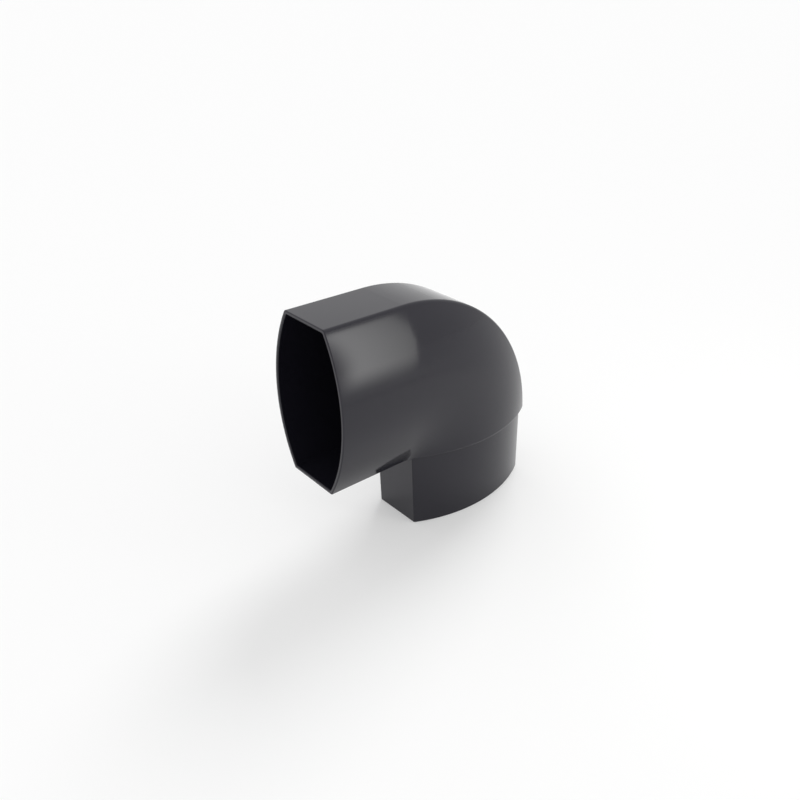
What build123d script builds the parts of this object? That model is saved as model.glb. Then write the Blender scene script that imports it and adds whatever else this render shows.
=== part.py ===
from build123d import *
import os
from math import cos, radians, sin, sqrt, tan

# Downpipe bend, 87.5 degrees, for oval rainwater pipe. It is one hollow plastic moulding, with a socket
# that takes a pipe's end and a spigot that goes into the next socket below.
# Millimetres, +Z up along the spigot. The origin is the middle of the spigot's end.
# The socket's mouth looks towards -X and a little up, and the two sides of Y = 0 mirror each other.

# The pipe's outline: two short flat sides and two long bulged ones
pipe_depth = 90.0
pipe_width = 56.0
pipe_flat = 31.5

# Walls, fits and mould draft, each measured on one side
wall = 2.1
socket_clearance = 0.4
stop_height = 1.0
spigot_draft = 0.3
bore_draft = 0.3

# Turn and lengths
bend_angle = 87.5
throat_radius = 6.0
socket_depth = 48.0
stop_to_turn = 2.0
spigot_length = 47.0

# Rounded edges and corners, then chamfers
body_edge = 2.2
floor_edge = 0.8
pipe_corner = 1.0
rim_chamfer = 0.5
lip_chamfer = 1.2

# The long sides' arc, through the ends of the flats and the middle of the bulge
bulge = (pipe_width - pipe_flat) / 2
side_radius = ((pipe_depth / 2) ** 2 + bulge**2) / (2 * bulge)

# How far each section lies outside the pipe's outline
body_grow = socket_clearance + wall
passage_grow = socket_clearance - stop_height

# The bend turns about a pivot outside the throat. The socket leans up by what the turn lacks of a
# right angle, and its bottom runs on under the turn as the ledge that the spigot leaves.
lean = radians(90.0 - bend_angle)
axis_radius = throat_radius + pipe_depth / 2 + body_grow
ledge_rise = throat_radius / cos(lean) - axis_radius * tan(lean)
pivot = Vector(-axis_radius, 0, spigot_length - ledge_rise)
out_of_mouth = Vector(-cos(lean), 0, sin(lean))
across_socket = Vector(sin(lean), 0, cos(lean))

turn_axis = Axis(pivot, (0, 1, 0))
turn_start = Plane(pivot, x_dir=(0, -1, 0), z_dir=out_of_mouth)
mouth = turn_start.offset(stop_to_turn + socket_depth)
spigot_end = Plane((0, 0, 0), x_dir=(0, 1, 0), z_dir=(0, 0, 1))
turn_end = spigot_end.offset(spigot_length - ledge_rise)


def oval(grow, corner=0.0):
    """The pipe's outline moved outwards by grow, its long way along the sketch's Y."""
    half_depth = pipe_depth / 2 + grow
    half_width = pipe_width / 2 + grow
    radius = side_radius + grow
    half_flat = half_width - radius + sqrt(radius**2 - half_depth**2)
    with BuildSketch() as outline:
        with BuildLine():
            Line((-half_flat, half_depth), (half_flat, half_depth))
            ThreePointArc((half_flat, half_depth), (half_width, 0), (half_flat, -half_depth))
            Line((half_flat, -half_depth), (-half_flat, -half_depth))
            ThreePointArc((-half_flat, -half_depth), (-half_width, 0), (-half_flat, half_depth))
        make_face()
        if corner:
            fillet(outline.vertices(), corner)
    return outline.sketch


def floor_of(grow):
    """The plane of the socket's bottom flat, for the outline moved outwards by grow."""
    return Plane(pivot, z_dir=across_socket).offset(axis_radius - pipe_depth / 2 - grow)


def turned_form(grow, corner=0.0):
    """The oval turned through the bend and run out to the mouth, on one flat floor.
    It also runs straight on below the turn, which the floor needs where the bend is shallower."""
    with BuildPart() as form:
        with BuildSketch(turn_start):
            with Locations((0, axis_radius)):
                add(oval(grow, corner))
        revolve(axis=turn_axis, revolution_arc=bend_angle)
        with BuildSketch(turn_start):
            with Locations((0, axis_radius)):
                add(oval(grow, corner))
        extrude(amount=stop_to_turn + socket_depth)
        with BuildSketch(turn_end):
            add(oval(grow, corner))
        extrude(amount=-spigot_length)
        split(bisect_by=floor_of(grow), keep=Keep.TOP)
    return form.part


def spigot_form(grow, draft, rim, top):
    """The oval run up from the spigot's end to the plane top, growing by draft in the spigot's length.
    Its end is drawn in by the rim's chamfer, or opened out where rim is negative."""
    lengths = 2
    sections = [(0, grow - rim), (abs(rim), grow), (lengths * spigot_length, grow + lengths * draft)]
    with BuildPart() as form:
        for height, section_grow in sections:
            with BuildSketch(spigot_end.offset(height)):
                add(oval(section_grow, pipe_corner))
        loft(ruled=True)
        split(bisect_by=top, keep=Keep.BOTTOM)
    return form.part


with BuildPart() as bend_body:
    # Body: the turned oval, with its long edges rounded, and those of the floor and the ledge less so.
    # In a shallower bend the turn's end leaves a smooth seam above the floor, which stays as it is.
    add(turned_form(body_grow))
    lengthwise = bend_body.edges().filter_by(turn_start, reverse=True)
    long_edges = lengthwise.filter_by(lambda edge: abs(edge.center().Z - pivot.Z) > 0.001)
    floor_edges = long_edges.group_by(Axis(pivot, across_socket), tol_digits=3)[0]
    upper_edges = long_edges.sort_by(Axis(pivot, across_socket))[len(floor_edges):]
    ledge_end = bend_body.edges().sort_by(Axis.X)[-1]
    fillet(upper_edges, body_edge)
    fillet(floor_edges + [ledge_end], floor_edge)

    # Spigot, a little wider at its root, with a chamfer that leads it into the next socket
    add(spigot_form(0, spigot_draft, rim_chamfer, floor_of(socket_clearance)))

    # Passage from the mouth through the turn
    add(turned_form(passage_grow, pipe_corner), mode=Mode.SUBTRACT)

    # Bore of the spigot, widest at its end, with a chamfered lip where it opens in the passage's floor
    bore = spigot_form(-wall, -bore_draft, -rim_chamfer, floor_of(passage_grow - wall))
    add(bore, mode=Mode.SUBTRACT)
    lip = bend_body.edges(Select.LAST).group_by(Axis(pivot, across_socket), tol_digits=3)[-1]
    chamfer(lip, lip_chamfer)

    # Socket, down to the stop that the pipe's end meets
    with BuildSketch(mouth):
        with Locations((0, axis_radius)):
            add(oval(socket_clearance, pipe_corner))
    extrude(amount=-socket_depth, mode=Mode.SUBTRACT)

    # Rim of the mouth, chamfered inside to lead a pipe in, and outside
    mouth_rim = bend_body.faces().sort_by(Axis(pivot, out_of_mouth))[-1]
    chamfer(mouth_rim.edges(), rim_chamfer)

bend_body.part.label = "bend_body"
os.makedirs("parts", exist_ok=True)
export_step(bend_body.part, "parts/bend_body.step")
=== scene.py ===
"""Downpipe bend in glossy anthracite plastic, on a plain pale floor under soft studio light."""

import math

import bmesh
import bpy
from mathutils import Euler, Matrix, Vector


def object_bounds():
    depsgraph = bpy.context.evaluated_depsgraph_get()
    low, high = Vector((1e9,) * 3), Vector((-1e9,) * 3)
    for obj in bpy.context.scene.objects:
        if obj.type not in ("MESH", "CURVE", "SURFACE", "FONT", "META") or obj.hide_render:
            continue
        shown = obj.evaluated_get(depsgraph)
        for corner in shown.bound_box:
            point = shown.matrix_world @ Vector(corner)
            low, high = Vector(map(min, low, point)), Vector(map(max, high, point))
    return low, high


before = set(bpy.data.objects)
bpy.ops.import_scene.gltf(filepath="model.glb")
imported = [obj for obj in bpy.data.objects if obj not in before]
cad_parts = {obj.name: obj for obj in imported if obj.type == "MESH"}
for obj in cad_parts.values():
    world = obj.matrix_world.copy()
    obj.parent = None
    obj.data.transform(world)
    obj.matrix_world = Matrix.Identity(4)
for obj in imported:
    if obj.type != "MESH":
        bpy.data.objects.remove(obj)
cad_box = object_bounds()
scene = bpy.context.scene


# Bend body
# One hollow moulding of a socket, a turn and a spigot, in rigid plastic coloured right through. It is
# injected into a polished steel mould, which leaves it glossy, with a fine ripple in the gloss and the
# faintest clouding where the melt ran. The pigment gives its dark grey a touch of violet.
anthracite = (0.0096, 0.0093, 0.0140, 1)
anthracite_cloud = (0.0107, 0.0104, 0.0154, 1)
gloss_tint = (0.95, 0.925, 1.0, 1)
gloss_polished = 0.075
gloss_clouded = 0.105
cloud_size = 0.022
ripple_size = 0.0042
ripple_height = 0.0000022
plastic_index = 1.465


def add_node(tree, kind, inputs, **settings):
    """A node of that kind with its settings, and its inputs set to values or fed by other nodes."""
    node = tree.nodes.new(kind)
    for name, value in settings.items():
        setattr(node, name, value)
    for name, value in inputs.items():
        if isinstance(value, bpy.types.NodeSocket):
            tree.links.new(value, node.inputs[name])
        else:
            node.inputs[name].default_value = value
    return node


def noise_at(tree, place, size, detail):
    """Noise over the object's own coordinates, in patches about size metres across."""
    inputs = {"Vector": place.outputs["Object"], "Scale": 1 / size, "Detail": detail}
    return add_node(tree, "ShaderNodeTexNoise", inputs).outputs["Fac"]


moulded_plastic = bpy.data.materials.new("moulded_plastic")
moulded_plastic.use_nodes = True
tree = moulded_plastic.node_tree
shader = tree.nodes["Principled BSDF"]
shader.inputs["IOR"].default_value = plastic_index
shader.inputs["Specular Tint"].default_value = gloss_tint
place = add_node(tree, "ShaderNodeTexCoord", {})
cloud = noise_at(tree, place, cloud_size, detail=3)
ripple = noise_at(tree, place, ripple_size, detail=2)

colours = {"Factor": cloud, "A": anthracite, "B": anthracite_cloud}
colour = add_node(tree, "ShaderNodeMix", colours, data_type="RGBA")
tree.links.new(colour.outputs["Result"], shader.inputs["Base Color"])

glosses = {"Value": cloud, "To Min": gloss_polished, "To Max": gloss_clouded}
gloss = add_node(tree, "ShaderNodeMapRange", glosses)
tree.links.new(gloss.outputs["Result"], shader.inputs["Roughness"])

bump = add_node(tree, "ShaderNodeBump", {"Strength": 1, "Distance": ripple_height, "Height": ripple})
tree.links.new(bump.outputs["Normal"], shader.inputs["Normal"])

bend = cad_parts["bend_body"]
for slot in bend.material_slots:
    slot.material = moulded_plastic


# Floor and surroundings
# A wide flat sheet of matt white board, in a white room that is a little less bright low down. What the
# camera and the gloss see of the board is lifted to white, with the bend's soft shadow left on it. Inside
# the spigot's foot, where it lies in the dark, the lift is left out, which is painted shade on the board.
board_half = 8.0
board_white = (0.62, 0.62, 0.62, 1)
board_lift = 0.31
room_white = (1, 1, 1, 1)
room_low = (0.92, 0.92, 0.92, 1)

# Between these heights the room's low tone turns to white, where 0 is the horizon and 1 is overhead.
low_tone_top = 0.03
white_bottom = 0.30

# The room's strength to the camera and the gloss, and as the light that falls on things
room_seen = 1.0
room_light = 0.80

# The spigot's foot, out to the middle of its wall: half its depth, and the arc of a long side
foot_half_depth = 0.0437
foot_side_radius = 0.0877
foot_side_centre = (0, -0.0608, 0)


def math_node(tree, operation, first, second):
    """The output of a math node on two numbers or other nodes' outputs."""
    return add_node(tree, "ShaderNodeMath", {0: first, 1: second}, operation=operation).outputs[0]


def seen_ray(tree):
    """One where a ray comes from the camera, from gloss or through glass, and zero elsewhere."""
    rays = add_node(tree, "ShaderNodeLightPath", {}).outputs
    gloss_or_glass = math_node(tree, "MAXIMUM", rays["Is Glossy Ray"], rays["Is Transmission Ray"])
    return math_node(tree, "MAXIMUM", rays["Is Camera Ray"], gloss_or_glass)


def emptied_material(name):
    """A new material with nothing in its tree but the output."""
    material = bpy.data.materials.new(name)
    material.use_nodes = True
    material.node_tree.nodes.remove(material.node_tree.nodes["Principled BSDF"])
    return material


sheet = bmesh.new()
bmesh.ops.create_grid(sheet, x_segments=1, y_segments=1, size=board_half)
bmesh.ops.translate(sheet, verts=sheet.verts, vec=(0, 0, cad_box[0][2]))
board_mesh = bpy.data.meshes.new("floor")
sheet.to_mesh(board_mesh)
sheet.free()
board = bpy.data.objects.new("floor", board_mesh)
scene.collection.objects.link(board)

white_board = emptied_material("white_board")
tree = white_board.node_tree
matt = add_node(tree, "ShaderNodeBsdfDiffuse", {"Color": board_white})
place = add_node(tree, "ShaderNodeTexCoord", {})

# The foot is alike in its four quarters, so each place on the board is folded into one of them.
spot = {0: place.outputs["Object"]}
folded = add_node(tree, "ShaderNodeVectorMath", spot, operation="ABSOLUTE").outputs[0]
along_foot = add_node(tree, "ShaderNodeSeparateXYZ", {0: folded}).outputs["X"]
points = {0: folded, 1: foot_side_centre}
from_centre = add_node(tree, "ShaderNodeVectorMath", points, operation="DISTANCE").outputs["Value"]
past_flat = math_node(tree, "GREATER_THAN", along_foot, foot_half_depth)
past_side = math_node(tree, "GREATER_THAN", from_centre, foot_side_radius)
outside_foot = math_node(tree, "MAXIMUM", past_flat, past_side)

# The lift is left out inside the spigot's foot, which paints shade on the board there.
lifted = math_node(tree, "MULTIPLY", seen_ray(tree), outside_foot)
lift_strength = math_node(tree, "MULTIPLY", lifted, board_lift)
lift = add_node(tree, "ShaderNodeEmission", {"Strength": lift_strength})
both = add_node(tree, "ShaderNodeAddShader", {0: matt.outputs[0], 1: lift.outputs[0]})
tree.links.new(both.outputs[0], tree.nodes["Material Output"].inputs["Surface"])
board_mesh.materials.append(white_board)

room = bpy.data.worlds.new("white_room")
room.use_nodes = True
scene.world = room
tree = room.node_tree
background = tree.nodes["Background"]
way = add_node(tree, "ShaderNodeTexCoord", {})
height = add_node(tree, "ShaderNodeSeparateXYZ", {0: way.outputs["Generated"]})
ends = {"Value": height.outputs["Z"], "From Min": low_tone_top, "From Max": white_bottom}
above = add_node(tree, "ShaderNodeMapRange", ends, interpolation_type="SMOOTHSTEP")
colours = {"Factor": above.outputs["Result"], "A": room_low, "B": room_white}
room_colour = add_node(tree, "ShaderNodeMix", colours, data_type="RGBA")
tree.links.new(room_colour.outputs["Result"], background.inputs["Color"])
strengths = {"Value": seen_ray(tree), "To Min": room_light, "To Max": room_seen}
room_strength = add_node(tree, "ShaderNodeMapRange", strengths)
tree.links.new(room_strength.outputs["Result"], background.inputs["Strength"])


# Key lamp
# A broad and distant lamp behind the bend's right shoulder, half way up the sky. It lays a soft shadow to
# the front left, and the gloss doesn't show it.
lamp_azimuth = math.radians(25)
lamp_tilt = math.radians(45)
lamp_width = math.radians(28)
lamp_strength = 1.24

lamp_data = bpy.data.lights.new("key_lamp", "SUN")
lamp_data.angle = lamp_width
lamp_data.energy = lamp_strength
lamp = bpy.data.objects.new("key_lamp", lamp_data)
lamp.rotation_euler = Euler((0, lamp_tilt, lamp_azimuth))
lamp.visible_glossy = False
scene.collection.objects.link(lamp)


# Soft box
# An upright lamp box with a white cloth front, which stands at the near side of the bend. It leaves the
# one bright reflection on the socket's bulged side. The cloth is brighter towards its left, and its light
# fades out at the edges, most at the bottom.
box_place = Vector((0.141, -0.320, 0.188))
box_turn = Euler((math.radians(9.7), math.radians(12.3), math.radians(11.9)), "YXZ").to_matrix()
box_white = (0.98, 1.0, 0.93, 1)
box_glow = 4.1
box_glow_slope = -35.0
cloth_width = 0.14
cloth_height = 0.40

# Each edge of the light: the way it faces on the cloth, in degrees up from rightwards, its distance from
# the cloth's middle, and how far the fading reaches to each side of it
right_edge = (0, 0.040, 0.006)
top_edge = (90, 0.128, 0.003)
left_edge = (182, 0.039, 0.014)
bottom_edge = (274, 0.124, 0.052)

front = bmesh.new()
bmesh.ops.create_grid(front, x_segments=1, y_segments=1, size=0.5)
bmesh.ops.scale(front, verts=front.verts, vec=(cloth_width, cloth_height, 1))
upright = box_turn @ Matrix.Rotation(math.radians(90), 3, "X")
bmesh.ops.rotate(front, verts=front.verts, matrix=upright)
bmesh.ops.translate(front, verts=front.verts, vec=box_place)
cloth_mesh = bpy.data.meshes.new("soft_box")
front.to_mesh(cloth_mesh)
front.free()
cloth = bpy.data.objects.new("soft_box", cloth_mesh)
scene.collection.objects.link(cloth)
cloth.visible_camera = False

lit_cloth = emptied_material("lit_cloth")
tree = lit_cloth.node_tree
place = add_node(tree, "ShaderNodeTexCoord", {})
offset = {0: place.outputs["Object"], 1: box_place}
from_middle = add_node(tree, "ShaderNodeVectorMath", offset, operation="SUBTRACT").outputs[0]


def cloth_distance(degrees):
    """How far a point of the cloth lies from its middle along that way, in metres."""
    way = Vector((math.cos(math.radians(degrees)), 0, math.sin(math.radians(degrees))))
    inputs = {0: from_middle, 1: box_turn @ way}
    return add_node(tree, "ShaderNodeVectorMath", inputs, operation="DOT_PRODUCT").outputs["Value"]


lit = 1.0
for degrees, reach, fade in (right_edge, top_edge, left_edge, bottom_edge):
    ends = {"Value": cloth_distance(degrees), "From Min": reach + fade, "From Max": reach - fade}
    inside = add_node(tree, "ShaderNodeMapRange", ends, interpolation_type="SMOOTHSTEP")
    lit = math_node(tree, "MULTIPLY", inside.outputs["Result"], lit)
slope = math_node(tree, "MULTIPLY", cloth_distance(0), box_glow_slope)
glow = {"Color": box_white, "Strength": math_node(tree, "ADD", slope, box_glow)}
shine = add_node(tree, "ShaderNodeEmission", glow)
clear = add_node(tree, "ShaderNodeBsdfTransparent", {})
faded = add_node(tree, "ShaderNodeMixShader", {0: lit, 1: clear.outputs[0], 2: shine.outputs[0]})
tree.links.new(faded.outputs[0], tree.nodes["Material Output"].inputs["Surface"])
cloth_mesh.materials.append(lit_cloth)


# Camera
# It looks down on the socket's near side and its mouth, as the photograph does. The turns are written in
# degrees, and the place is measured across, up and back along the camera's own axes.
picture_px = 800
focal_px = 786.9
camera_azimuth = math.radians(-39.27)
camera_elevation = math.radians(30.23)
camera_roll = math.radians(-2.06)
camera_place = Vector((-0.03265, 0.05303, 0.51197))
nearest_seen = 0.01
furthest_seen = 30

back = Vector((
    math.sin(camera_azimuth) * math.cos(camera_elevation),
    -math.cos(camera_azimuth) * math.cos(camera_elevation),
    math.sin(camera_elevation),
))
right = Vector((math.cos(camera_azimuth), math.sin(camera_azimuth), 0))
level = Matrix((right, back.cross(right), back)).transposed()
turn = level @ Matrix.Rotation(camera_roll, 3, "Z")
camera_data = bpy.data.cameras.new("camera")
camera_data.lens = focal_px / picture_px * camera_data.sensor_width
camera_data.clip_start = nearest_seen
camera_data.clip_end = furthest_seen
camera = bpy.data.objects.new("camera", camera_data)
camera.matrix_world = Matrix.Translation(turn @ camera_place) @ turn.to_4x4()
scene.collection.objects.link(camera)
scene.camera = camera
scene.view_settings.view_transform = "Standard"
